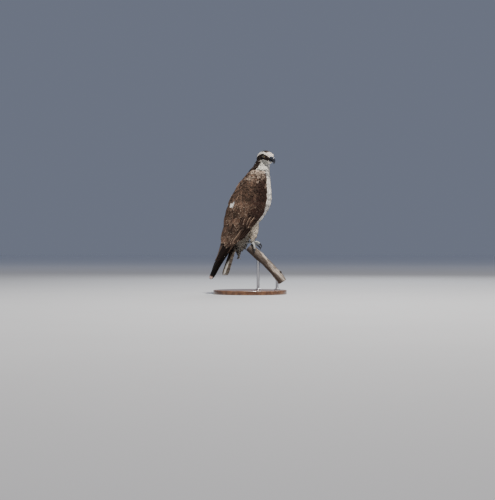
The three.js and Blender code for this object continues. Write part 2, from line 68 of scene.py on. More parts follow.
# Floor and light
# A plain pale studio floor that runs far back and grows paler, up to a wall of blue-grey light,
# under one warm lamp high at the right, a weak cool one at the left and one behind.
class Nodes:
    """The node tree of one finish, with short ways to add nodes to it."""

    def __init__(self, name, roughness=0.7):
        self.material = bpy.data.materials.new(name)
        self.material.use_nodes = True
        self.tree = self.material.node_tree
        self.shader = self.tree.nodes["Principled BSDF"]
        self.shader.inputs["Roughness"].default_value = roughness

    def add(self, kind, inputs=None, **settings):
        node = self.tree.nodes.new(kind)
        for key, value in settings.items():
            setattr(node, key, value)
        for key, value in (inputs or {}).items():
            self.feed(node.inputs[key], value)
        return node

    def feed(self, socket, value):
        if isinstance(value, bpy.types.NodeSocket):
            self.tree.links.new(value, socket)
        else:
            socket.default_value = value

    def place(self, scale=(1, 1, 1)):
        where = self.add("ShaderNodeTexCoord").outputs["Object"]
        return self.add("ShaderNodeMapping", {"Vector": where, "Scale": scale}).outputs[0]

    def noise(self, scale, detail=4.0, at=None, roughness=0.55):
        inputs = {"Vector": at or self.place(), "Scale": scale}
        inputs.update({"Detail": detail, "Roughness": roughness})
        return self.add("ShaderNodeTexNoise", inputs).outputs["Fac"]

    def ramp(self, fac, low, high):
        inputs = {"Value": fac, "From Min": low, "From Max": high}
        return self.add("ShaderNodeMapRange", inputs, interpolation_type="SMOOTHSTEP").outputs[0]

    def math(self, operation, a, b=0.0):
        return self.add("ShaderNodeMath", {0: a, 1: b}, operation=operation).outputs[0]

    def times(self, a, b):
        return self.math("MULTIPLY", a, b)

    def plus(self, a, b):
        return self.math("ADD", a, b)

    def minus(self, a, b):
        return self.math("SUBTRACT", a, b)

    def mix(self, fac, a, b, blend="MIX"):
        node = self.add("ShaderNodeMix", data_type="RGBA", blend_type=blend)
        colours = [socket for socket in node.inputs if socket.type == "RGBA"]
        self.feed(node.inputs[0], fac)
        for socket, value in zip(colours, (a, b)):
            self.feed(socket, value if isinstance(value, bpy.types.NodeSocket) else (*value, 1.0))
        return [socket for socket in node.outputs if socket.type == "RGBA"][0]

    def value(self, name):
        return self.add("ShaderNodeAttribute", attribute_name=name).outputs["Fac"]

    def bump(self, height, strength, distance=0.001):
        inputs = {"Height": height, "Strength": strength, "Distance": distance}
        self.feed(self.shader.inputs["Normal"], self.add("ShaderNodeBump", inputs).outputs["Normal"])

    def colour(self, value):
        self.feed(self.shader.inputs["Base Color"], value)


FLOOR_WIDTH = 80
FLOOR_TURNS_PALE = (1.5, 9.0)
floor_finish = Nodes("floor_paint", roughness=0.9)
floor_place = floor_finish.add("ShaderNodeTexCoord").outputs["Object"]
floor_reach = floor_finish.add("ShaderNodeVectorMath", {0: floor_place}, operation="LENGTH")
far_off = floor_finish.ramp(floor_reach.outputs["Value"], *FLOOR_TURNS_PALE)
near_floor = floor_finish.mix(floor_finish.noise(3.0), (0.35, 0.36, 0.38), (0.38, 0.39, 0.41))
floor_finish.colour(floor_finish.mix(far_off, near_floor, (0.96, 0.96, 0.97)))
bpy.ops.mesh.primitive_plane_add(size=FLOOR_WIDTH)
floor = bpy.context.object
floor.name = "floor"
floor.data.materials.append(floor_finish.material)


LAMPS_AIM = Vector((0, 0, 0.3))


def lamp(name, place, size, watts, colour):
    data = bpy.data.lights.new(name, "AREA")
    data.size = size
    data.energy = watts
    data.color = colour
    light = bpy.data.objects.new(name, data)
    light.location = place
    light.rotation_euler = (LAMPS_AIM - Vector(place)).to_track_quat("-Z", "Y").to_euler()
    bpy.context.collection.objects.link(light)


lamp("high_lamp", (0.8, -1.7, 3.7), size=0.5, watts=370, colour=(1.0, 0.94, 0.86))
lamp("left_lamp", (-2.6, -1.6, 1.2), size=2.0, watts=5, colour=(0.82, 0.9, 1.0))
lamp("back_lamp", (0.6, 2.4, 2.2), size=1.6, watts=60, colour=(0.95, 0.97, 1.0))
world = bpy.data.worlds.new("studio")
world.use_nodes = True
wall_light = world.node_tree.nodes["Background"]
wall_light.inputs["Color"].default_value = (0.2, 0.225, 0.3, 1)
wall_light.inputs["Strength"].default_value = 0.76
bpy.context.scene.world = world


# Stand
# A turned disc of varnished hardwood with a rounded edge and a shallow groove, and two brushed
# steel rods that rise from it into the underside of the branch, each from a small turned collar.
BASE_RADIUS = 145 * MM
BASE_HEIGHT = 16 * MM
EDGE_ROUND = 3 * MM
GROOVE = 1 * MM
GROOVE_INSET = 11 * MM
ROD_RADIUS = 6 * MM
COLLAR_RADIUS = 11 * MM
COLLAR_HEIGHT = 6 * MM
COLLAR_NECK = 8 * MM
COLLAR_EDGE = 3 * MM
BASE_SIDES = 128
ROD_SIDES = 48
SHARP_FROM = math.radians(40)


def add_object(name, mesh):
    piece = bpy.data.objects.new(name, mesh)
    bpy.context.collection.objects.link(piece)
    return piece


def turned_ring(form, radius, z, sides, at):
    """The corners of one ring of a turned form, or its one point on the axis."""
    if radius == 0:
        return [form.verts.new((at[0], at[1], z))]
    angles = [2 * math.pi * k / sides for k in range(sides)]
    corners = [(at[0] + radius * math.cos(a), at[1] + radius * math.sin(a), z) for a in angles]
    return [form.verts.new(corner) for corner in corners]


def turned(name, profile, sides, at=(0, 0)):
    """A closed turned form from pairs of radius and height, from the axis round to the axis."""
    form = bmesh.new()
    rings = [turned_ring(form, radius, z, sides, at) for radius, z in profile]
    for low, high in zip(rings, rings[1:]):
        for k in range(sides):
            under = [low[k % len(low)], low[(k + 1) % len(low)]]
            over = [high[(k + 1) % len(high)], high[k % len(high)]]
            form.faces.new(list(dict.fromkeys(under + over)))
    bmesh.ops.recalc_face_normals(form, faces=form.faces)
    mesh = bpy.data.meshes.new(name)
    form.to_mesh(mesh)
    form.free()
    mesh.shade_smooth()
    mesh.set_sharp_from_angle(angle=SHARP_FROM)
    return add_object(name, mesh)


base_profile = [(0, 0), (BASE_RADIUS - 1 * MM, 0), (BASE_RADIUS, 1 * MM)]
for angle in np.linspace(0, math.pi / 2, 7):
    rounded_radius = BASE_RADIUS - EDGE_ROUND + EDGE_ROUND * math.cos(angle)
    base_profile.append((rounded_radius, BASE_HEIGHT - EDGE_ROUND + EDGE_ROUND * math.sin(angle)))
groove_radius = BASE_RADIUS - GROOVE_INSET
base_profile += [(groove_radius + GROOVE, BASE_HEIGHT), (groove_radius, BASE_HEIGHT - GROOVE)]
base_profile += [(groove_radius - GROOVE, BASE_HEIGHT), (0, BASE_HEIGHT)]
base = turned("stand_disc", base_profile, BASE_SIDES)
base_finish = Nodes("varnished_hardwood", roughness=0.32)
long_grain = base_finish.noise(14.0, 8.0, base_finish.place((1, 14, 4)))
pores = base_finish.noise(90.0, 3.0, base_finish.place((1, 24, 6)))
grain_share = base_finish.ramp(long_grain, 0.3, 0.7)
brown = base_finish.mix(grain_share, (0.075, 0.032, 0.016), (0.2, 0.098, 0.046))
base_finish.colour(base_finish.mix(base_finish.ramp(pores, 0.6, 0.75), brown, (0.04, 0.017, 0.009)))
base_finish.bump(pores, 0.12)
base_finish.shader.inputs["Coat Weight"].default_value = 0.4
base.data.materials.append(base_finish.material)
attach(base, "root")
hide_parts("stand_base")

rod_finish = Nodes("brushed_steel_rod", roughness=0.3)
rod_finish.shader.inputs["Metallic"].default_value = 1.0
brushing = rod_finish.noise(220.0, 4.0, rod_finish.place((1, 1, 12)))
rod_finish.colour(rod_finish.mix(brushing, (0.5, 0.5, 0.51), (0.68, 0.68, 0.69)))
rod_finish.bump(brushing, 0.08)
for node in ("stand_rod_1", "stand_rod_2"):
    low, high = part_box(node)
    middle = ((low[0] + high[0]) / 2, (low[1] + high[1]) / 2)
    foot = BASE_HEIGHT + 0.2 * MM
    in_branch = high[2] + 2 * MM
    profile = [(0, foot), (COLLAR_RADIUS, foot), (COLLAR_RADIUS, foot + COLLAR_EDGE)]
    profile += [(COLLAR_NECK, foot + COLLAR_HEIGHT), (ROD_RADIUS, foot + COLLAR_HEIGHT + 0.5 * MM)]
    profile += [(ROD_RADIUS, in_branch), (0, in_branch)]
    rod = turned(node.replace("stand_rod", "steel_rod"), profile, ROD_SIDES, at=middle)
    rod.data.materials.append(rod_finish.material)
    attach(rod, "root")
    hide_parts(node)


# Branch
# The bare end of a dead limb, broken off at the top, bleached grey by rain and tan where it is
# freshly worn, with long cracks along the grain, dark specks and one knot hole, its hollow painted dark
# as shade.
def remeshed_copy(name, nodes, voxel, smoothing):
    """One closed skin round the named solids."""
    form = bmesh.new()
    for node in nodes:
        form.from_mesh(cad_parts[node].data)
    mesh = bpy.data.meshes.new(name)
    form.to_mesh(mesh)
    form.free()
    piece = add_object(name, mesh)
    remesh = piece.modifiers.new("remesh", "REMESH")
    remesh.mode = "VOXEL"
    remesh.voxel_size = voxel
    soften = piece.modifiers.new("soften", "SMOOTH")
    soften.factor = 0.5
    soften.iterations = smoothing
    solid = bpy.data.meshes.new_from_object(piece.evaluated_get(bpy.context.evaluated_depsgraph_get()))
    piece.modifiers.clear()
    piece.data = solid
    solid.name = name
    solid.materials.clear()
    solid.shade_smooth()
    return piece


def read_points(mesh):
    points = np.empty(len(mesh.vertices) * 3)
    mesh.vertices.foreach_get("co", points)
    normals = np.empty(len(mesh.vertices) * 3)
    mesh.vertices.foreach_get("normal", normals)
    return points.reshape(-1, 3), normals.reshape(-1, 3)


def write_points(mesh, points):
    mesh.vertices.foreach_set("co", points.ravel())
    mesh.update()


GRAIN = Vector((0.68, 0, -0.73))
GRAIN_STRETCH = 9.0
RIDGES_PER_METRE = 150
RIDGE_HEIGHT = 0.9 * MM
FINE_HEIGHT = 0.35 * MM
CRACK_DEPTH = 1.1 * MM
CRACK_SHARPNESS = 9
KNOT = (0.122, -0.014, 0.09)
KNOT_RADIUS = 7.5 * MM


def weathering(point):
    """How far rain and drying have raised or sunk the wood at one point."""
    along = point.dot(GRAIN)
    across = point - GRAIN * along
    stretched = (across + GRAIN * (along / GRAIN_STRETCH)) * RIDGES_PER_METRE
    crack = max(0.0, 1 - abs(noise.noise(stretched * 1.6)) * CRACK_SHARPNESS)
    ridges = RIDGE_HEIGHT * noise.noise(stretched) + FINE_HEIGHT * noise.noise(stretched * 3)
    return ridges - CRACK_DEPTH * crack


branch = remeshed_copy("branch", ["perch"], 1.3 * MM, smoothing=5)
points, normals = read_points(branch.data)
depths = np.array([weathering(Vector(point)) for point in points])
write_points(branch.data, points + normals * depths[:, None])
wood = Nodes("weathered_wood", roughness=0.86)
where = wood.add("ShaderNodeTexCoord").outputs["Object"]
grain_lean = (0, math.atan2(GRAIN.x, -GRAIN.z), 0)
turn = wood.add("ShaderNodeMapping", {"Vector": where, "Rotation": grain_lean}).outputs[0]
lengthwise = wood.add("ShaderNodeMapping", {"Vector": turn, "Scale": (1, 1, 0.07)}).outputs[0]
fibres = wood.noise(260.0, 8.0, lengthwise, 0.7)
bands = wood.noise(70.0, 4.0, lengthwise)
streaky = wood.add("ShaderNodeMapping", {"Vector": turn, "Scale": (1, 1, 0.3)}).outputs[0]
blotches = wood.noise(46.0, 5.0, streaky)
pale = wood.mix(wood.ramp(blotches, 0.44, 0.56), (0.06, 0.044, 0.034), (0.35, 0.3, 0.255))
grey = wood.mix(wood.ramp(bands, 0.42, 0.6), pale, (0.085, 0.066, 0.052))
lined = wood.mix(wood.ramp(fibres, 0.52, 0.7), grey, (0.045, 0.03, 0.022))
specks = wood.add("ShaderNodeTexVoronoi", {"Vector": turn, "Scale": 75.0}).outputs["Distance"]
specked = wood.mix(wood.ramp(specks, 0.1, 0.04), lined, (0.05, 0.035, 0.028))
# Painted shade: a near black spot round the knot stands for the dark inside its hole.
from_knot = wood.add("ShaderNodeVectorMath", {0: where, 1: KNOT}, operation="DISTANCE").outputs["Value"]
uneven_rim = wood.plus(from_knot, wood.times(blotches, 6 * MM))
knot_hole_shade = wood.ramp(uneven_rim, KNOT_RADIUS + 3.5 * MM, KNOT_RADIUS)
wood.colour(wood.mix(knot_hole_shade, specked, (0.018, 0.012, 0.01)))
wood.bump(wood.minus(fibres, wood.ramp(specks, 0.14, 0.03)), 0.7, 1.2 * MM)
branch.data.materials.append(wood.material)
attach(branch, "root")
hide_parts("perch")


# Skin
# One closed skin that the plumage of head, neck, body and thighs is rooted in. It lies one coat
# below the outer surface, and is coloured with the same markings as the feathers, painted shade
# included.
HEAD_CENTRE = np.array([62.0, -9.0, 538.5])
HEAD_YAW = math.radians(-50)
HEAD_PITCH = math.radians(12)
EYE_PLACE = np.array([12.5, 18.0, 5.0])
HEAD_TURN = np.array(Euler((0, HEAD_PITCH, HEAD_YAW), "XYZ").to_matrix())
WHITE = np.array([0.86, 0.84, 0.79])
CREAM = np.array([0.88, 0.77, 0.6])
VENT_SHADE = np.array([0.2, 0.19, 0.165])
DARK = np.array([0.02, 0.012, 0.009])
BROWN = np.array([0.065, 0.034, 0.021])
PINKISH = np.array([0.6, 0.43, 0.38])
THROAT_SHADE_PAINT = np.array([0.36, 0.37, 0.32])


def step(low, high, value):
    share = np.clip((value - low) / (high - low), 0, 1)
    return share * share * (3 - 2 * share)


def blend(fac, a, b):
    return a + (b - a) * np.asarray(fac)[..., None]


def ripple(points, scale, seed=0.0):
    """A smooth wandering value from -1 to 1 at each point."""
    shift = Vector((seed, seed * 2.7, -seed))
    values = [noise.noise(Vector(point) / scale + shift) for point in points.reshape(-1, 3)]
    return np.array(values).reshape(points.shape[:-1])


def in_head(points):
    """Points in millimetres, in the head's own frame: x forward, y left, z up."""
    return (points - HEAD_CENTRE) @ HEAD_TURN


CREAM_DOWN = (300, 262)
VENT_SHADE_BACK = (6, -16)
VENT_SHADE_DOWN = (266, 240)
BREAST_FORWARD = (24, 60)
NAPE_EDGE = 9
NAPE_HEIGHT = 498
BACK_LEAN = 0.62
MASK_TOP = 12
MASK_BOTTOM = -7
MASK_SOFTNESS = 1.4


def pale_parts(points, waver):
    """White in front, cream on the thighs and painted shade round the vent, with faint breast streaks.
    """
    x, z = points[..., 0], points[..., 2]
    colour = blend(0.15 + 0.15 * waver, np.broadcast_to(WHITE, points.shape), CREAM)
    colour = blend(0.85 * step(*CREAM_DOWN, z), colour, CREAM)
    # Painted shade: grey over the rear of the thighs and round the vent, under the wings and tail.
    colour = blend(0.9 * step(*VENT_SHADE_BACK, x) * step(*VENT_SHADE_DOWN, z), colour, VENT_SHADE)
    long_ripple = ripple(points * np.array([1, 1, 0.35]), 5.5, 2.0)
    on_breast = step(*BREAST_FORWARD, x) * step(500, 470, z) * step(330, 400, z)
    return blend(0.3 * step(0.3, 0.62, long_ripple) * on_breast, colour, BROWN * 2)


def brown_parts(points, colour, waver, fine):
    """The brown of the back, darkened in part as painted shade, and the dark nape that joins it to the
    mask.
    """
    x, y, z = points[..., 0], points[..., 1], points[..., 2]
    back = NAPE_EDGE + BACK_LEAN * (z - NAPE_HEIGHT)
    mantle = step(back + 34, back + 18, x + 5 * waver) * step(488, 466, z) * step(235, 262, z)
    mantle = mantle * step(-62, -50, back - 40)
    hind = -0.11 * (450 - np.minimum(z, 450)) - 4
    low_back = step(hind, hind - 14, x) * step(470, 440, z) * step(250, 275, z)
    # The back's own dark brown, mixed towards near black as painted shade.
    brown = blend(0.5 + 0.5 * fine, BROWN * 1.3 * np.ones(points.shape), DARK * 1.5)
    colour = blend(np.maximum(mantle, low_back), colour, brown)
    nape = step(back + 23, back + 17, x + 2 * fine) * step(530, 520, z) * step(446, 462, z)
    nape_colour = blend(step(-22, -4, y), DARK * 1.3 * np.ones(points.shape), brown)
    return blend(nape, colour, nape_colour), nape


def mask(fore, side, up, fine):
    """The share of dark mask, from the bill through the eye and down the side of the neck."""
    top = 4 - 0.014 * (fore - 9) ** 2 + MASK_TOP - 0.15 * np.maximum(0, fore - 12) + 0.8 * fine
    bottom = MASK_BOTTOM - 0.7 * np.maximum(0, 8 - fore) - 0.02 * np.maximum(0, -fore) ** 2
    bottom = bottom - 0.2 * np.maximum(0, fore - 16)
    above = step(bottom - MASK_SOFTNESS, bottom + MASK_SOFTNESS, up + 0.8 * fine)
    below = step(top + MASK_SOFTNESS, top - MASK_SOFTNESS, up)
    inner = 8 - 7 * step(20, 29, fore)
    return above * below * step(inner - 2, inner + 2, side)


def markings(points):
    """The colour of the plumage at each point, in millimetres, with painted shade on the throat and
    round the vent, and in part on the back.
    """
    x, y, z = points[..., 0], points[..., 1], points[..., 2]
    waver = ripple(points, 9.0)
    fine = ripple(points, 3.2, 5.0)
    local = in_head(points)
    fore, side, up = local[..., 0], np.abs(local[..., 1]), local[..., 2]
    in_face = step(498, 508, z)
    colour, nape = brown_parts(points, pale_parts(points, waver), waver, fine)
    masked = mask(fore, side, up, fine) * in_face
    behind = step(-18, -28, fore + 2 * waver) * step(11, 6, side + 2 * fine)
    behind = behind * step(20, 12, up) * step(512, 520, z)
    colour = blend(np.maximum(masked, 0.85 * behind), colour, DARK)
    crown = step(17.5, 14, side + 1.2 * fine) * step(15, 19, up)
    crown = crown * step(-20, -14, fore) * step(17, 12, fore)
    colour = blend(crown * in_face, colour, DARK * 1.2)
    brow = step(0.25, 0.6, ripple(points, 2.4, 9.0)) * step(14, 19, up) * step(18, 12, fore)
    colour = blend(0.3 * brow * in_face, colour, BROWN)
    forehead = step(4, 20, fore) * step(6, 10, up) * in_face * step(0.2, 0.9, 0.6 + fine)
    colour = blend(0.5 * forehead * (1 - masked), colour, PINKISH)
    # Painted shade: a grey-green tint under the head, on the throat and the near side of the neck.
    throat_shade = step(-4, -12, up) * step(472, 486, z) * step(4, -18, y) * step(76, 62, x)
    throat_shade = throat_shade * (1 - masked) * (1 - nape)
    return np.clip(blend(0.55 * throat_shade, colour, THROAT_SHADE_PAINT), 0, 1)


def eye_distance(points):
    local = in_head(points)
    local = np.stack([local[..., 0], np.abs(local[..., 1]), local[..., 2]], -1)
    return np.linalg.norm(local - EYE_PLACE, axis=-1)


BODY_COAT = 5.0
HEAD_COAT = 2.0
EYE_RIM = 11.5
EYE_RIM_COAT = 0.4


def coat_depth(points):
    """How deep the skin lies under the outer surface, in millimetres."""
    deep = BODY_COAT - (BODY_COAT - HEAD_COAT) * step(470, 515, points[..., 2])
    near_bill = step(23, 32, in_head(points)[..., 0]) * step(500, 512, points[..., 2])
    deep = deep * (1 - 0.75 * near_bill) * (1 - 0.7 * step(196, 168, points[..., 2]))
    return np.where(eye_distance(points) < EYE_RIM, EYE_RIM_COAT, deep)


def put_values(mesh, name, values, kind="FLOAT"):
    field = {"FLOAT": "value", "FLOAT_COLOR": "color"}[kind]
    layer = mesh.attributes.new(name, kind, "POINT")
    layer.data.foreach_set(field, np.ascontiguousarray(values, dtype=np.float32).ravel())


def with_alpha(colours):
    flat = colours.reshape(-1, 3)
    return np.hstack([flat, np.ones((len(flat), 1))])


FLESH = ["head", "neck", "torso", "thigh_right", "thigh_left"]
THICK_FLESH = 40.0
PROBE_START = 0.3
skin = remeshed_copy("skin", FLESH, 1.9 * MM, smoothing=3)
points, normals = read_points(skin.data)
outer_points, outer_normals = points / MM, normals
outer_form = BVHTree.FromPolygons(points.tolist(), [face.vertices[:] for face in skin.data.polygons])


def skin_depth(points, normals):
    """The coat's depth, but never past a third of the way through a thin place."""
    through = []
    for start, inward in zip((points - PROBE_START * normals) * MM, -normals):
        distance = outer_form.ray_cast(Vector(start), Vector(inward), THICK_FLESH * MM)[3]
        through.append(THICK_FLESH if distance is None else distance / MM + PROBE_START)
    return np.minimum(coat_depth(points), np.array(through) / 3)


write_points(skin.data, points - normals * skin_depth(outer_points, outer_normals)[:, None] * MM)
put_values(skin.data, "plume", with_alpha(markings(outer_points)), "FLOAT_COLOR")
down = Nodes("skin_and_down", roughness=0.95)
tint = down.add("ShaderNodeAttribute", attribute_name="plume").outputs["Color"]
fluff = down.noise(420.0, 6.0)
down.colour(down.mix(down.ramp(fluff, 0.35, 0.75), tint, (0.8, 0.79, 0.77), "MULTIPLY"))
down.bump(fluff, 0.5)
skin.data.materials.append(down.material)
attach(skin, "root")
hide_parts(*FLESH)


# Small feathers
# Thousands of small vanes over the skin, tiny on the face and longer down the body, each rooted
# in the skin and lying back over the next, in the colour of the marking where its tip lies.
def grid_faces(grid, turned_over):
    corners = [grid[:, :-1, :-1], grid[:, :-1, 1:], grid[:, 1:, 1:], grid[:, 1:, :-1]]
    faces = np.stack(corners, -1).reshape(-1, 4)
    return faces[:, ::-1] if turned_over else faces


def both_sides(grid):
    """One value for each corner of the vanes: all of the upper side, then the inner underside."""
    width = grid.shape[3:]
    return np.concatenate([grid.reshape(-1, *width), grid[:, 1:-1, 1:-1].reshape(-1, *width)])


def put_bake_map(mesh, faces, along, across, patch):
    """Lays every vane on a patch of its own, with its underside a gap beside its upper side."""
    corner, size, gap = patch
    spot_u = corner[:, 0, None, None] + size[:, 0, None, None] * (across + 1) / 2
    spot_v = corner[:, 1, None, None] + size[:, 1, None, None] * along
    places = np.stack([both_sides(spot_u), both_sides(spot_v)], -1)
    looped = places[faces.ravel()]
    looped[faces.size // 2:, 0] += gap
    bake = mesh.uv_layers.new(name="OFBake")
    bake.data.foreach_set("uv", looped.ravel())


def blades(name, middles, sides, ups, widths, values, patch, thick, camber, columns=3, flip=False):
    """Closed thin vanes, all in millimetres. middles, sides and ups are arrays of vanes by
    stations by 3, widths is vanes by stations, and patch gives each vane's corner and size on
    the bake map, and the gap to its underside."""
    count, rows = widths.shape
    across = np.linspace(-1, 1, columns)
    shares = np.linspace(0, 1, rows)
    hump = camber * widths[..., None] * (1 - across ** 2)
    flat = middles[:, :, None] + sides[:, :, None] * (widths[..., None] * across)[..., None]
    thickness = thick * (1 - 0.5 * shares[None, :, None])
    mirror = np.array([1, -1 if flip else 1, 1])
    top = (flat + ups[:, :, None] * hump[..., None]) * mirror
    low = (flat + ups[:, :, None] * (hump - thickness)[..., None]) * mirror
    inner = low[:, 1:-1, 1:-1]
    numbers = np.arange(count * rows * columns).reshape(count, rows, columns)
    under = numbers.copy()
    under[:, 1:-1, 1:-1] = numbers.size + np.arange(inner[..., 0].size).reshape(inner.shape[:3])
    faces = np.vstack([grid_faces(numbers, flip), grid_faces(under, not flip)])
    vertices = np.vstack([top.reshape(-1, 3), inner.reshape(-1, 3)]) * MM
    mesh = bpy.data.meshes.new(name)
    mesh.from_pydata(vertices.tolist(), [], faces.tolist())
    along_grid = np.broadcast_to(shares[None, :, None], numbers.shape)
    across_grid = np.broadcast_to(across[None, None, :], numbers.shape)
    put_values(mesh, "along", both_sides(along_grid))
    put_values(mesh, "across", both_sides(across_grid))
    plume = values["plume"]
    by_row = plume if plume.ndim == 3 else np.repeat(plume[:, None], rows, 1)
    colours = both_sides(np.repeat(by_row[:, :, None], columns, 2))
    put_values(mesh, "plume", with_alpha(colours), "FLOAT_COLOR")
    for key in ("fringe", "bars", "shaft"):
        even = np.broadcast_to(values[key][:, None, None], numbers.shape)
        put_values(mesh, key, both_sides(even))
    put_bake_map(mesh, faces, along_grid, across_grid, patch)
    mesh.shade_smooth()
    return add_object(name, mesh)


BARBS = 46.0
BARB_SLANT = 9.0
BAR_TURNS = 56.0


def vane_finish(name, fringe_colour, roughness, sheen, dusk=0.0):
    """A feather: a dusky middle, fine barbs that run out and down from its shaft, and a fringe."""
    finish = Nodes(name, roughness)
    tint = finish.add("ShaderNodeAttribute", attribute_name="plume").outputs["Color"]
    along = finish.value("along")
    reach = finish.math("ABSOLUTE", finish.value("across"))
    slant = finish.minus(finish.times(along, BARBS), finish.times(reach, BARB_SLANT))
    ridges = finish.math("SINE", finish.times(slant, 2 * math.pi))
    ridges = finish.plus(ridges, finish.times(finish.noise(900.0, 2.0), 1.4))
    mottle = finish.ramp(finish.noise(130.0, 4.0), 0.3, 0.75)
    shade = finish.mix(mottle, tint, (0.84, 0.83, 0.81), "MULTIPLY")
    from_shaft = finish.plus(reach, finish.times(along, 0.2))
    middle = finish.times(finish.ramp(from_shaft, 0.75, 0.15), dusk)
    shade = finish.mix(middle, shade, (0.25, 0.23, 0.22), "MULTIPLY")
    barbed = finish.mix(finish.ramp(ridges, 0.2, 2.2), shade, (0.86, 0.85, 0.84), "MULTIPLY")
    ragged = finish.times(finish.minus(finish.noise(420.0, 3.0), 0.5), 0.5)
    edge = finish.math("MAXIMUM", finish.math("POWER", reach, 2.0), finish.math("POWER", along, 5.0))
    rim = finish.ramp(finish.plus(edge, ragged), 0.6, 0.86)
    fringed = finish.mix(finish.times(rim, finish.value("fringe")), barbed, fringe_colour)
    bar_place = finish.minus(along, finish.times(reach, 0.03))
    barring = finish.ramp(finish.math("SINE", finish.times(bar_place, BAR_TURNS)), -0.1, 0.5)
    barring = finish.times(barring, finish.value("bars"))
    barred = finish.mix(barring, fringed, (0.25, 0.21, 0.18), "MULTIPLY")
    quill = finish.times(finish.ramp(reach, 0.07, 0.03), finish.value("shaft"))
    finish.colour(finish.mix(quill, barred, fringe_colour))
    finish.bump(ridges, 0.16)
    finish.shader.inputs["Specular IOR Level"].default_value = 0.1
    finish.shader.inputs["Sheen Weight"].default_value = sheen
    finish.shader.inputs["Sheen Roughness"].default_value = 0.5
    return finish.material


def form_of(node):
    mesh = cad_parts[node].data
    corners = [vertex.co[:] for vertex in mesh.vertices]
    return BVHTree.FromPolygons(corners, [face.vertices[:] for face in mesh.polygons])


PALE_FEATHER = vane_finish("pale_feather", (0.86, 0.84, 0.79), roughness=0.85, sheen=0.03)
COVERING = ("wing_right", "wing_left", "bill_upper", "bill_lower", "perch")
covering_forms = [form_of(node) for node in COVERING]
draw = np.random.default_rng(11)


def triangles_of(mesh, values):
    mesh.calc_loop_triangles()
    corners = np.empty(len(mesh.loop_triangles) * 3, dtype=np.int32)
    mesh.loop_triangles.foreach_get("vertices", corners)
    return values[corners.reshape(-1, 3)]


corners = triangles_of(skin.data, outer_points)
corner_normals = triangles_of(skin.data, outer_normals)
edge_cross = np.cross(corners[:, 1] - corners[:, 0], corners[:, 2] - corners[:, 0])
areas = np.linalg.norm(edge_cross, axis=1) / 2
centres = corners.mean(axis=1)
NEIGHBOURS = list(product((-1, 0, 1), repeat=3))
TRIES = 3.2
COVER_REACH = 26.0
FLOW_STRAY = 0.13
ROOM_TO_LIE = 0.42


def scatter(inside, spacing):
    """Evenly spread places on the outer surface where inside is true, at least spacing apart."""
    weights = areas * inside
    wanted = int(weights.sum() * TRIES / spacing ** 2)
    picks = draw.choice(len(areas), wanted, p=weights / weights.sum())
    a, b = draw.random((2, wanted))
    over = a + b > 1
    a[over], b[over] = 1 - a[over], 1 - b[over]
    shares = np.stack([1 - a - b, a, b], -1)[..., None]
    places = (corners[picks] * shares).sum(axis=1)
    facing = (corner_normals[picks] * shares).sum(axis=1)
    taken = {}
    kept = []
    for i, place in enumerate(places):
        cell = tuple((place // spacing).astype(int))
        close = [taken.get((cell[0] + u, cell[1] + v, cell[2] + w)) for u, v, w in NEIGHBOURS]
        close = [other for other in close if other is not None]
        if all(np.sum((places[other] - place) ** 2) > spacing ** 2 for other in close):
            taken[cell] = i
            kept.append(i)
    return places[kept], facing[kept] / np.linalg.norm(facing[kept], axis=1)[:, None]


def uncovered(places, facing):
    """Tells which places no wing, bill or branch lies over."""
    free = []
    for place, normal in zip(places, facing):
        start = Vector((place + normal * 0.4) * MM)
        hits = [form.ray_cast(start, Vector(normal), COVER_REACH * MM)[0] for form in covering_forms]
        free.append(all(hit is None for hit in hits))
    return np.array(free)


def lie(places, facing):
    """The way the feathers lie at each place, back over the head and down the body, and
    whether the surface leaves them room to lie."""
    forward = HEAD_TURN @ np.array([1.0, 0, -0.12])
    on_head = step(500, 520, places[:, 2])[:, None]
    down_body = np.tile([-0.3, 0, -1.0], (len(places), 1))
    down_body[:, 1] -= 0.004 * places[:, 1]
    flow = -forward * on_head + down_body * (1 - on_head * 0.8)
    flow += FLOW_STRAY * draw.normal(size=flow.shape)
    flow -= facing * (flow * facing).sum(axis=1)[:, None]
    reach = np.linalg.norm(flow, axis=1)
    return flow / reach[:, None], reach > ROOM_TO_LIE


UNWRAP_LOW = 140
UNWRAP_HEIGHT = 440
UNWRAP_SIZE = 0.99
ROOT_PATCH = 0.003


def root_patches(places):
    """Each root's place on an unwrap of the skin: its turn round the body, and its height."""
    middle = 10 + 0.11 * (places[:, 2] - 300)
    turn_round = np.arctan2(places[:, 1], places[:, 0] - middle) / (2 * math.pi) + 0.5
    height = (places[:, 2] - UNWRAP_LOW) / UNWRAP_HEIGHT
    corner = np.stack([turn_round, height], -1) * UNWRAP_SIZE
    return corner, np.full((len(places), 2), ROOT_PATCH), 0.0


def varied(count, least, spread):
    """One factor for each vane, from least to least + spread."""
    return (least + spread * draw.random(count))[:, None]


COAT_ROWS = 5
COAT_TAPER = 0.35
BEFORE_ROOT = 0.35
DROOP = 0.0042
EYE_OPENING = 9.4


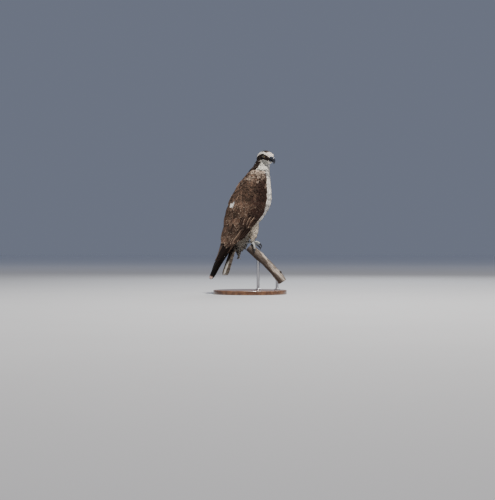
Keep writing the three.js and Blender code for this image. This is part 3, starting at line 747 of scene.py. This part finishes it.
def coat(name, inside, spacing, length, width, lift, rise=0.0):
    """One piece of the coat. All its sizes are in millimetres."""
    places, facing = scatter(inside, spacing)
    free = uncovered(places, facing) & (eye_distance(places) > EYE_OPENING)
    places, facing = places[free], facing[free]
    flow, lying = lie(places, facing)
    places, facing, flow = places[lying], facing[lying], flow[lying]
    count = len(places)
    lengths = length * varied(count, 0.85, 0.3)
    halves = width * varied(count, 0.85, 0.3)
    lifts = lift * varied(count, 0.75, 0.35)
    shares = np.linspace(0, 1, COAT_ROWS)
    depth = np.minimum(skin_depth(places, facing), lift + 2)[:, None]
    out = -depth * (1 - shares) ** 1.4 + lifts * shares * 0.3
    bend = rise * shares ** 1.5 - DROOP * (lengths * shares) ** 2
    middles = places[:, None] + flow[:, None] * ((shares - BEFORE_ROOT) * lengths)[..., None]
    middles += facing[:, None] * (out + bend)[..., None]
    sides = np.repeat(np.cross(flow, facing)[:, None], COAT_ROWS, 1)
    ups = np.repeat(facing[:, None], COAT_ROWS, 1)
    narrowing = np.maximum(0, (shares - COAT_TAPER) / (1 - COAT_TAPER))
    shape = np.minimum(1, 0.55 + 1.3 * shares) * np.sqrt(np.maximum(0.05, 1 - narrowing ** 2))
    tips = markings(middles[:, -1])
    toned = np.clip(tips * varied(count, 0.92, 0.16), 0, 1)
    values = {"plume": toned, "fringe": 0.45 * tips.mean(axis=1)}
    values.update(bars=np.zeros(count), shaft=np.zeros(count))
    patch = root_patches(places)
    piece = blades(name, middles, sides, ups, halves * shape, values, patch, thick=0.25, camber=0.08)
    piece.data.materials.append(PALE_FEATHER)
    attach(piece, "root")


HEAD_BASE = 512
NECK_BASE = 484
SHOULDER_TOP = 503
SHOULDER_FRONT = 66
THIGH_TOP = 292
THIGH_INSIDE = 11
THIGH_BACK = -16
VENT_TOP = 240
FACE_BACK = 15
FACE_ROUND_EYE = 16
height = centres[:, 2]
head_zone = height > HEAD_BASE
near_eye = eye_distance(centres) < FACE_ROUND_EYE
face_zone = head_zone & ((in_head(centres)[:, 0] > FACE_BACK) | near_eye)
neck_zone = (height <= HEAD_BASE) & (height >= NECK_BASE)
shoulder_zone = (height < SHOULDER_TOP) & (height > NECK_BASE) & (centres[:, 0] < SHOULDER_FRONT)
outside = np.abs(centres[:, 1]) > THIGH_INSIDE
thigh_zone = (height < THIGH_TOP) & outside & (centres[:, 0] > THIGH_BACK)
vent_zone = (height < VENT_TOP) & ~thigh_zone
body_zone = (height < NECK_BASE) & ~thigh_zone & ~vent_zone
coat("face_feathers", face_zone, spacing=1.1, length=4.6, width=0.9, lift=0.8)
coat("head_feathers", head_zone & ~face_zone, spacing=1.6, length=9.5, width=1.6, lift=1.4)
coat("neck_feathers", neck_zone, spacing=2.2, length=17.0, width=2.6, lift=1.6)
coat("shoulder_feathers", shoulder_zone, spacing=3.4, length=27.0, width=4.2, lift=1.6, rise=9.0)
coat("body_feathers", body_zone, spacing=3.1, length=26.0, width=4.2, lift=1.5)
coat("thigh_feathers", thigh_zone, spacing=2.4, length=20.0, width=2.4, lift=2.0)
coat("vent_feathers", vent_zone, spacing=2.6, length=26.0, width=3.0, lift=2.4)


# Wings
# Folded wings: rows of small brown coverts with pale fringes, then the long secondaries and
# tertials, then the black primaries that reach past the tail, all growing from a thin core.
BODY_HEIGHTS = [172, 190, 213, 233, 253, 273, 292, 312, 332, 352]
BODY_HEIGHTS += [372, 391, 411, 431, 450, 466, 482, 498, 512, 528]
BODY_SLICES = [
    (-30, -58, 9), (-12, -66, 19), (-1, -79, 30), (5, -84, 38), (14, -87, 46),
    (28, -86, 52), (47, -84, 56), (61, -83, 59), (73, -80, 62), (82, -75, 64),
    (86, -69, 64), (86, -62, 63), (85, -53, 61), (83, -42, 57), (82, -27, 52),
    (80, -12, 45), (79, 0, 38), (78, 9, 33), (78, 17, 30), (76, 26, 27),
]
WING_ROWS = [
    (49, 486, 8, 490, 34, 30, 9), (62, 466, -14, 470, 43, 24, 18),
    (65.5, 419, -49, 427, 46, 18, 34), (64, 371, -76, 375, 50, 16, 37),
    (54, 323, -95, 320, 53, 14, 34), (12, 270, -101, 265, 52, 13, 24),
    (-24, 227, -113, 213, 43, 11, 13), (-71, 182, -132, 148, 34, 11, 7),
    (-109, 122, -163, 94, 26, 12, 3), (-142, 63, -172, 55, 20, 13, 1),
]
WING_DEPTHS = [16, 18, 18, 18, 17, 13, 7, 4, 2.5, 1.5]
CORE_END = 7.3
UNDER_COVERTS = 1.2
PROBE = 0.05


def smooth_reader(keys, rows):
    """A smooth reading between the rows of a table."""
    keys, rows = np.array(keys, float), np.array(rows, float)
    slopes = np.gradient(rows, keys, axis=0)

    def read(at):
        at = np.clip(np.asarray(at, float), keys[0], keys[-1])
        i = np.clip(np.searchsorted(keys, at, side="right") - 1, 0, len(keys) - 2)
        span = (keys[i + 1] - keys[i])[..., None]
        t = (at - keys[i])[..., None] / span
        from_low = (2 * t ** 3 - 3 * t ** 2 + 1) * rows[i] + (t ** 3 - 2 * t ** 2 + t) * slopes[i] * span
        to_high = (3 * t ** 2 - 2 * t ** 3) * rows[i + 1] + (t ** 3 - t ** 2) * slopes[i + 1] * span
        return from_low + to_high

    return read


body_slice = smooth_reader(BODY_HEIGHTS, BODY_SLICES)
wing_row = smooth_reader(range(len(WING_ROWS)), WING_ROWS)
wing_depth = smooth_reader(range(len(WING_DEPTHS)), [(depth,) for depth in WING_DEPTHS])


def wing_surface(row, share):
    """The right wing's outer surface, from the row and the share from the leading edge."""
    row, share = np.broadcast_arrays(np.asarray(row, float), np.asarray(share, float))
    lx, lz, dx, dz, l_out, d_out, bulge = np.moveaxis(wing_row(row), -1, 0)
    x, z = lx + (dx - lx) * share, lz + (dz - lz) * share
    front, back, half = np.moveaxis(body_slice(z), -1, 0)
    at = (x - (front + back) / 2) / ((front - back) / 2)
    body = half * np.sqrt(np.maximum(0, 1 - at * at))
    flat = l_out + (d_out - l_out) * share + bulge * np.sin(math.pi * np.clip(share, 0, 1))
    return np.stack([x, -np.maximum(flat, body + 5), z], -1)


def wing_normal(row, share):
    down = wing_surface(row + PROBE, share) - wing_surface(row - PROBE, share)
    back = wing_surface(row, share + PROBE) - wing_surface(row, share - PROBE)
    normal = np.cross(back, down)
    normal *= np.where(normal[..., 1:2] > 0, -1, 1)
    return normal / np.linalg.norm(normal, axis=-1)[..., None]


PATCH_MARGIN = 0.06
PATCH_WIDTH = 0.4
PATCH_HEIGHT = 0.88
PATCH_GAP = 0.46


def cell_patches(count):
    """A cell of the bake map for each vane, with its upper side left and its underside right."""
    cells = math.ceil(math.sqrt(count))
    index = np.arange(count)
    corner = np.stack([index % cells, index // cells], -1) + PATCH_MARGIN
    size = np.tile([PATCH_WIDTH, PATCH_HEIGHT], (count, 1))
    return corner / cells, size / cells, PATCH_GAP / cells


class Plumage:
    """Collects the vanes of one wing or tail that have the same number of stations."""

    def __init__(self, rows):
        self.rows = rows
        self.vanes = []

    def add(self, middles, ups, widths, plume, fringe, bars=0.0, shaft=0.0, twist=0.0):
        sides = np.cross(np.gradient(middles, axis=0), ups)
        sides /= np.linalg.norm(sides, axis=1)[:, None]
        sides = sides + ups * twist
        vane = {"middles": middles, "sides": sides, "ups": ups, "widths": widths}
        vane["plume"] = np.broadcast_to(plume, (self.rows, 3))
        vane.update(fringe=fringe, bars=bars, shaft=shaft)
        self.vanes.append(vane)

    def build(self, name, columns, thick, finish, flip=False, camber=0.1):
        data = {key: np.array([vane[key] for vane in self.vanes]) for key in self.vanes[0]}
        patch = cell_patches(len(self.vanes))
        piece = blades(name, data["middles"], data["sides"], data["ups"], data["widths"], data,
                       patch, thick, camber, columns, flip)
        piece.data.materials.append(finish)
        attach(piece, "root")
        return piece


def outline(rows, taper, point=0.25):
    """The half width of a vane at each station, as a share of its widest."""
    shares = np.linspace(0, 1, rows)
    end = np.maximum(0, (shares - taper) / (1 - taper))
    rounded = np.sqrt(np.maximum(point ** 2, 1 - end ** 2.2))
    return np.minimum(1, 0.5 + 1.5 * shares) * rounded


SOOT = np.array([0.0045, 0.0032, 0.003])
RUSSET = np.array([0.032, 0.0155, 0.0115])
TAWNY = np.array([0.125, 0.076, 0.053])
SHOULDER = np.array([0.47, 0.375, 0.3])
BROWN_FEATHER = vane_finish("brown_feather", (0.5, 0.37, 0.265), roughness=0.66, sheen=0.02, dusk=0.6)


def wing_vane(plumage, chance, root, tip, half, plume, fringe, out, taper, **finish):
    rows = plumage.rows
    shares = np.linspace(0, 1, rows)
    row = root[0] + (tip[0] - root[0]) * shares
    share = root[1] + (tip[1] - root[1]) * shares
    ups = wing_normal(row, share)
    lift = out[0] + (out[1] - out[0]) * shares
    middles = wing_surface(row, share) + ups * lift[:, None]
    shade = 0.76 + 0.48 * chance.random()
    widths = half * (0.9 + 0.2 * chance.random()) * outline(rows, taper)
    plumage.add(middles, ups, widths, np.asarray(plume) * shade, fringe, **finish)


def covert_colour(row, share, chance):
    """Dark and plain along the front of the wing, tawny with wide fringes further back."""
    patch = 0.5 + 1.1 * noise.noise(Vector((row * 1.7, share * 4.2, 3.0)))
    front = step(0.5, 0.25, share + 0.07 * chance.normal())
    plume = blend(front, TAWNY * (0.22 + 0.95 * patch + 0.2 * chance.random()), RUSSET)
    top = step(1.6, 0.15, row + 0.35 * chance.normal()) * step(0.99, 0.8, share)
    plume = blend(top, plume, SHOULDER)
    plume = blend(0.5 * step(3.6, 4.4, row) * step(0.7, 0.85, share), plume, TAWNY * 1.5)
    worn = (0.2 + 0.6 * step(2.4, 3.6, row) + 0.7 * patch) * chance.random() ** 0.7
    fringe = (1 - 0.75 * front) * worn * (1 - 0.5 * top)
    return plume, float(np.clip(fringe, 0, 1))


FLECK_ROW = 3.52
FLECK_SHARE = 0.86
SECONDARIES = 13
TERTIALS = 7
GREATER_COVERTS = 15
PRIMARIES = 9


def coverts(plumage, chance, first, last, half, length, gap, front_end):
    """Overlapping coverts and shoulder feathers that grow larger down the wing. half, length
    and gap are pairs, for the first and the last tier."""
    row = first
    tier = 0
    while row < last:
        grown = (row - first) / (last - first)
        wide = half[0] + (half[1] - half[0]) * grown
        reach = length[0] + (length[1] - length[0]) * grown
        leading, trailing = wing_surface(row, 0.0), wing_surface(row, 1.0)
        count = max(4, round(float(np.linalg.norm(leading - trailing)) / (wide * 1.15)))
        for k in range(count):
            share = (k + 0.5 + 0.25 * (-1) ** tier + 0.22 * chance.normal()) / count
            place = row + 0.3 * reach * (chance.random() - 0.5)
            if share < 0.02 or share > 0.98 or (share < 0.52 and place > front_end):
                continue
            plume, fringe = covert_colour(place + 0.4 * reach, share, chance)
            if abs(place + 0.7 * reach - FLECK_ROW) < 0.11 and abs(share - FLECK_SHARE) < 0.04:
                plume, fringe = WHITE, 1.0
            ending = (place + reach * (0.9 + 0.2 * chance.random()), share + 0.02 * chance.normal())
            wing_vane(plumage, chance, (place, share), ending, wide, plume, fringe,
                      out=(-2.0, 1.5 + chance.random()), taper=0.42 + 0.15 * chance.random())
        row += gap[0] + (gap[1] - gap[0]) * grown
        tier += 1


def secondaries(plumage, chance):
    """The long dark feathers of the wing's front, every third one with a wide pale edge."""
    for k in range(SECONDARIES):
        share = 0.04 + 0.58 * k / (SECONDARIES - 1)
        tip_row = 6.35 + 0.6 * share + 0.16 * chance.normal() * step(0.1, 0.3, share)
        light = k % 3 == 1
        plume = blend(step(0.3, 0.1, share), RUSSET, RUSSET * 0.75)
        plume = blend(0.45 * light, plume, TAWNY)
        wing_vane(plumage, chance, (4.8 + 0.1 * share, share), (tip_row, share + 0.02), 8.2, plume,
                  0.9 if light else 0.2, out=(-2.6, 0.5 + 0.03 * k), taper=0.7, twist=0.05, shaft=0.2)


def tertials(plumage, chance):
    """The broad tawny feathers at the wing's hind edge."""
    for k in range(TERTIALS):
        share = 0.6 + 0.058 * k
        tip = (6.35 - 0.09 * k + 0.2 * chance.normal(), share + 0.01 * chance.normal())
        plume = TAWNY * (0.5 + 0.5 * chance.random())
        wing_vane(plumage, chance, (4.5 + 0.2 * chance.random(), share), tip, 10.5, plume,
                  0.3 + 0.7 * chance.random(), out=(-1.8, 1.8), taper=0.6, twist=0.04, shaft=0.2)


def greater_coverts(plumage, chance):
    """The row that lies over the roots of the secondaries."""
    for k in range(GREATER_COVERTS):
        share = 0.04 + 0.55 * k / (GREATER_COVERTS - 1) + 0.008 * chance.normal()
        tip = (5.2 - 0.1 * share + 0.17 * chance.normal() * step(0.08, 0.25, share), share)
        light = k % 3 == 2
        plume = blend(0.45 * light, RUSSET * (0.8 + 0.4 * chance.random()), TAWNY)
        wing_vane(plumage, chance, (3.5 + 0.15 * chance.random(), share), tip, 7.0, plume,
                  0.9 if light else 0.2, out=(-2.0, 1.5), taper=0.68, twist=0.05, shaft=0.15)


def primaries(plumage, chance):
    """Stiff black feathers that reach past the tail, and one with a pale worn tip on top."""
    for k in range(PRIMARIES):
        grown = k / (PRIMARIES - 1)
        root = (5.8, 0.72 - 0.54 * grown)
        tip = (7.3 + 1.7 * min(1, 1.12 * grown), 0.74 - 0.32 * grown)
        plume = blend(0.35 + 0.65 * grown, RUSSET * 0.5, SOOT)
        wing_vane(plumage, chance, root, tip, 9.8, plume, 0.02,
                  out=(0.6 - 0.6 * k, 0.8 - 0.7 * k), taper=0.8, shaft=0.03)
    black = np.repeat(SOOT[None], plumage.rows, 0)
    worn_tip = blend(step(0.85, 0.9, np.linspace(0, 1, plumage.rows)), black, PINKISH)
    wing_vane(plumage, chance, (7.2, 0.45), (8.99, 0.5), 7.0, worn_tip * 1.1, 0.0,
              out=(-1.0, 0.9), taper=0.85)


def ring_faces(bands, sides, closed=False):
    """The faces between rings of equal size, the last joined to the first if closed."""
    rings = bands if closed else bands + 1
    faces = []
    for band in range(bands):
        low = band * sides
        high = (band + 1) % rings * sides
        for i in range(sides):
            after = (i + 1) % sides
            faces.append((low + i, low + after, high + after, high + i))
    return faces


def closed_object(name, places, faces):
    """A smooth piece from its corners, in metres, and its faces, all turned outwards."""
    mesh = bpy.data.meshes.new(name)
    mesh.from_pydata(places.tolist(), [], faces)
    form = bmesh.new()
    form.from_mesh(mesh)
    bmesh.ops.recalc_face_normals(form, faces=form.faces)
    form.to_mesh(mesh)
    form.free()
    mesh.shade_smooth()
    return add_object(name, mesh)


def wing_core(name, flip):
    """The thin body of the wing that all its feathers grow from, just under the coverts."""
    rows, across = 60, 24
    row = np.linspace(0, CORE_END, rows)[:, None]
    share = np.linspace(0.0, 1, across)[None, :]
    outer = wing_surface(row, share) - wing_normal(row + 0 * share, share + 0 * row) * UNDER_COVERTS
    edge = np.sqrt(np.sin(math.pi * share))
    inner = outer.copy()
    depth = wing_depth(row[:, 0])[:, None, 0] * (0.3 + 0.7 * edge)
    inner[..., 1] = np.minimum(inner[..., 1] + depth - 1, -5)
    outer[..., 1] = np.minimum(outer[..., 1], inner[..., 1] - 0.2)
    ring = np.concatenate([outer, inner[:, ::-1]], axis=1)
    if flip:
        ring = ring * np.array([1, -1, 1])
    sides = ring.shape[1]
    faces = ring_faces(rows - 1, sides)
    for start in (0, (rows - 1) * sides):
        end = start + sides - 1
        faces += [(start + i, start + i + 1, end - 1 - i, end - i) for i in range(across - 1)]
    return closed_object(name, ring.reshape(-1, 3) * MM, faces)


core_finish = Nodes("wing_down", roughness=0.95)
core_fluff = core_finish.noise(300.0, 6.0)
core_finish.colour(core_finish.mix(core_fluff, (0.03, 0.018, 0.012), (0.12, 0.075, 0.05)))
core_finish.bump(core_fluff, 0.5)
for side, flip, seed in (("right", False, 21), ("left", True, 22)):
    chance = np.random.default_rng(seed)
    core = wing_core(f"wing_core_{side}", flip)
    core.data.materials.append(core_finish.material)
    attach(core, "root")
    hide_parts(f"wing_{side}")
    small = Plumage(7)
    coverts(small, chance, first=0.02, last=2.6, half=(5.2, 7.2), length=(0.45, 0.68),
            gap=(0.13, 0.19), front_end=9.0)
    small.build(f"wing_coverts_{side}", 5, 0.4, BROWN_FEATHER, flip, camber=0.12)
    large = Plumage(14)
    coverts(large, chance, first=2.6, last=5.3, half=(7.6, 10.5), length=(0.72, 1.0),
            gap=(0.2, 0.28), front_end=3.7)
    secondaries(large, chance)
    tertials(large, chance)
    greater_coverts(large, chance)
    large.build(f"wing_feathers_{side}", 7, 0.6, BROWN_FEATHER, flip)
    flight = Plumage(22)
    primaries(flight, chance)
    flight.build(f"primaries_{side}", 7, 0.7, BROWN_FEATHER, flip, camber=0.06)


# Tail
# Twelve brown feathers with darker bars, pale shafts and pale tips, two of them white towards
# the end, folded like a shallow tent with the middle pair on top.
TAIL_ROOT = np.array([-38.0, 0, 261.0])
TAIL_LENGTH = 200.0
TAIL_LEAN = math.radians(19)
TAIL_DOWN = np.array([-math.sin(TAIL_LEAN), 0, -math.cos(TAIL_LEAN)])
TAIL_BACK = np.array([-math.cos(TAIL_LEAN), 0, math.sin(TAIL_LEAN)])
TAIL_FEATHERS = 12
TAIL_ROWS = 24
TAIL_START = 30
TAIL_HALF = 8.3
TENT_TILT = 0.62
TENT_TOP = 9
TENT_FALL = 0.74
TENT_ROUNDING = 4


def tail_point(down, side, out):
    tent = TENT_TOP - TENT_FALL * np.hypot(side, TENT_ROUNDING)
    across = np.array([0.0, 1, 0])
    middle = TAIL_ROOT + TAIL_DOWN * down[:, None] + across * side[:, None]
    return middle + TAIL_BACK * (tent + out)[:, None]


def add_tail_feather(plumage, k, stray):
    """One feather, k places from the middle. The second on each side ends in white."""
    shares = np.linspace(0, 1, TAIL_ROWS)
    tip = TAIL_LENGTH - 1.4 * abs(k) + 2 * stray
    down = TAIL_START + (tip - TAIL_START) * shares
    middles = tail_point(down, k * (2.6 + 1.7 * shares), -0.4 * abs(k) * shares)
    ups = np.repeat(TAIL_BACK[None], TAIL_ROWS, 0)
    striped = 1 < abs(k) < 2
    pale = step(0.6, 0.75, shares) * 0.9 if striped else step(0.95, 1.0, shares)
    # The tail's dark brown is partly its own colour and partly painted shade, deepened to the shade the
    # tail lies in.
    plume = blend(pale, np.repeat((TAWNY * 0.3)[None], TAIL_ROWS, 0), WHITE * 0.72)
    plumage.add(middles, ups, TAIL_HALF * outline(TAIL_ROWS, 0.88, 0.4), plume, fringe=0.3,
                bars=0.2 if striped else 0.6, shaft=0.25, twist=-TENT_TILT * np.sign(k))


rectrices = Plumage(TAIL_ROWS)
tail_chance = np.random.default_rng(31)
for i in range(TAIL_FEATHERS):
    add_tail_feather(rectrices, i - (TAIL_FEATHERS - 1) / 2, tail_chance.random() - 0.5)
tail_finish = vane_finish("tail_feather", (0.72, 0.66, 0.56), roughness=0.7, sheen=0.02)
tail = rectrices.build("tail_feathers", 9, 0.7, tail_finish, camber=0.05)
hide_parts("tail")


# Bill
# Hard black horn over the jaw bones: a deep hooked upper half with a blue-grey cere and a slit
# nostril on each side, and a short lower half that closes inside it.
CERE_END = (39, 43)
bill_finish = Nodes("bill_horn", roughness=0.24)
growth = bill_finish.noise(160.0, 5.0, bill_finish.place((1, 1, 3)))
cere = bill_finish.ramp(bill_finish.value("cere"), 0.35, 0.65)
horn = bill_finish.mix(growth, (0.008, 0.009, 0.013), (0.03, 0.033, 0.045))
bill_finish.colour(bill_finish.mix(cere, horn, (0.022, 0.028, 0.042)))
bill_finish.bump(growth, 0.12)
bill_finish.shader.inputs["Specular IOR Level"].default_value = 0.35
for node, name in (("bill_upper", "upper_bill"), ("bill_lower", "lower_bill")):
    piece = remeshed_copy(name, [node], 0.45 * MM, smoothing=4)
    bill_points, _ = read_points(piece.data)
    put_values(piece.data, "cere", 1 - step(*CERE_END, in_head(bill_points / MM)[:, 0]))
    piece.data.materials.append(bill_finish.material)
    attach(piece, "root")
    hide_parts(node)


# Eyes
# Glossy eyes with a round black pupil in a yellow iris that darkens to its rim, each in a ring
# of dark lid skin with a raised edge.
EYE_RADIUS = 8.0
EYE_GAZE = np.array([0.24, 1.0, 0.03]) / np.linalg.norm([0.24, 1.0, 0.03])
IRIS_ANGLE = math.pi / 3
OPENING_HALF_WIDTH = 5.0
OPENING_HALF_HEIGHT = 3.9
LID_TURNS = 64
LID_SIDES = 10


def head_to_world(points):
    return (points @ HEAD_TURN.T + HEAD_CENTRE) * MM


def eyeball(side, mirror):
    """A ball that knows, at each corner, how far round from its gaze it lies."""
    globe = bmesh.new()
    bmesh.ops.create_uvsphere(globe, u_segments=48, v_segments=32, radius=EYE_RADIUS)
    mesh = bpy.data.meshes.new(f"eyeball_{side}")
    globe.to_mesh(mesh)
    globe.free()
    ball, _ = read_points(mesh)
    turned_away = np.arccos(np.clip(ball @ (EYE_GAZE * mirror) / EYE_RADIUS, -1, 1))
    put_values(mesh, "ring", turned_away / IRIS_ANGLE)
    write_points(mesh, head_to_world(ball + EYE_PLACE * mirror))
    mesh.shade_smooth()
    return add_object(f"eyeball_{side}", mesh)


def eyelids(side, mirror):
    """A raised oval rim that lies on the ball, thicker above than below."""
    gaze = EYE_GAZE * mirror
    right_of = np.cross([0, 0, 1], gaze)
    right_of /= np.linalg.norm(right_of)
    above = np.cross(gaze, right_of)
    places = []
    for a in np.linspace(0, 2 * math.pi, LID_TURNS, endpoint=False):
        across = OPENING_HALF_WIDTH * math.cos(a)
        high = OPENING_HALF_HEIGHT * math.sin(a)
        reach = math.sqrt(EYE_RADIUS ** 2 - across ** 2 - high ** 2)
        centre = right_of * across + above * high + gaze * (reach + 0.15)
        outward = right_of * math.cos(a) + above * math.sin(a)
        thick = 0.85 + 0.3 * max(0, math.sin(a))
        for b in np.linspace(0, 2 * math.pi, LID_SIDES, endpoint=False):
            aside = outward * (thick * math.cos(b) + 0.5)
            places.append(centre + aside + gaze * thick * 0.9 * math.sin(b))
    corners = head_to_world(np.array(places) + EYE_PLACE * mirror)
    return closed_object(f"lids_{side}", corners, ring_faces(LID_TURNS, LID_SIDES, closed=True))


eye_finish = Nodes("eye_gloss", roughness=0.06)
ring = eye_finish.value("ring")
rays = eye_finish.noise(700.0, 3.0)
iris = eye_finish.mix(rays, (0.42, 0.25, 0.02), (0.85, 0.6, 0.08))
rimmed = eye_finish.mix(eye_finish.ramp(ring, 0.66, 0.8), iris, (0.03, 0.018, 0.01))
eye_finish.colour(eye_finish.mix(eye_finish.ramp(ring, 0.43, 0.4), rimmed, (0.002, 0.002, 0.002)))
eye_finish.shader.inputs["Coat Weight"].default_value = 1.0
lid_finish = Nodes("lid_skin", roughness=0.55)
wrinkles = lid_finish.noise(900.0, 4.0)
lid_finish.colour(lid_finish.mix(wrinkles, (0.012, 0.012, 0.014), (0.06, 0.058, 0.06)))
lid_finish.bump(wrinkles, 0.4)
for side, sign in (("right", -1), ("left", 1)):
    mirror = np.array([1, sign, 1])
    eye = eyeball(side, mirror)
    eye.data.materials.append(eye_finish.material)
    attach(eye, "root")
    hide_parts(f"eye_{side}")
    lids = eyelids(side, mirror)
    lids.data.materials.append(lid_finish.material)
    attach(lids, "root")


# Feet and claws
# Strong pale grey feet covered in small rough scales, and eight long curved black claws, round
# in section, that close on the branch.
foot_finish = Nodes("foot_scales", roughness=0.62)
scale_cells = foot_finish.add("ShaderNodeTexVoronoi", {"Vector": foot_finish.place(), "Scale": 520.0})
plates = scale_cells.outputs["Distance"]
grime = foot_finish.noise(120.0, 4.0)
foot_pale = foot_finish.mix(foot_finish.ramp(grime, 0.35, 0.7), (0.42, 0.43, 0.4), (0.27, 0.28, 0.27))
foot_finish.colour(foot_finish.mix(foot_finish.ramp(plates, 0.45, 0.75), foot_pale, (0.1, 0.1, 0.095)))
foot_finish.bump(foot_finish.minus(1.0, plates), 0.75)
claw_finish = Nodes("claw_horn", roughness=0.22)
claw_streaks = claw_finish.noise(240.0, 4.0)
claw_finish.colour(claw_finish.mix(claw_streaks, (0.006, 0.006, 0.008), (0.035, 0.034, 0.036)))
claw_finish.bump(claw_streaks, 0.08)
for side in ("right", "left"):
    foot = remeshed_copy(f"scaled_foot_{side}", [f"foot_{side}"], 0.7 * MM, smoothing=10)
    foot.data.materials.append(foot_finish.material)
    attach(foot, "root")
    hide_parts(f"foot_{side}")
    for digit in ("middle", "inner", "outer", "hind"):
        node = f"claw_{digit}_{side}"
        claw = remeshed_copy(f"horn_{node}", [node], 0.35 * MM, smoothing=6)
        claw.data.materials.append(claw_finish.material)
        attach(claw, "root")
        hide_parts(node)
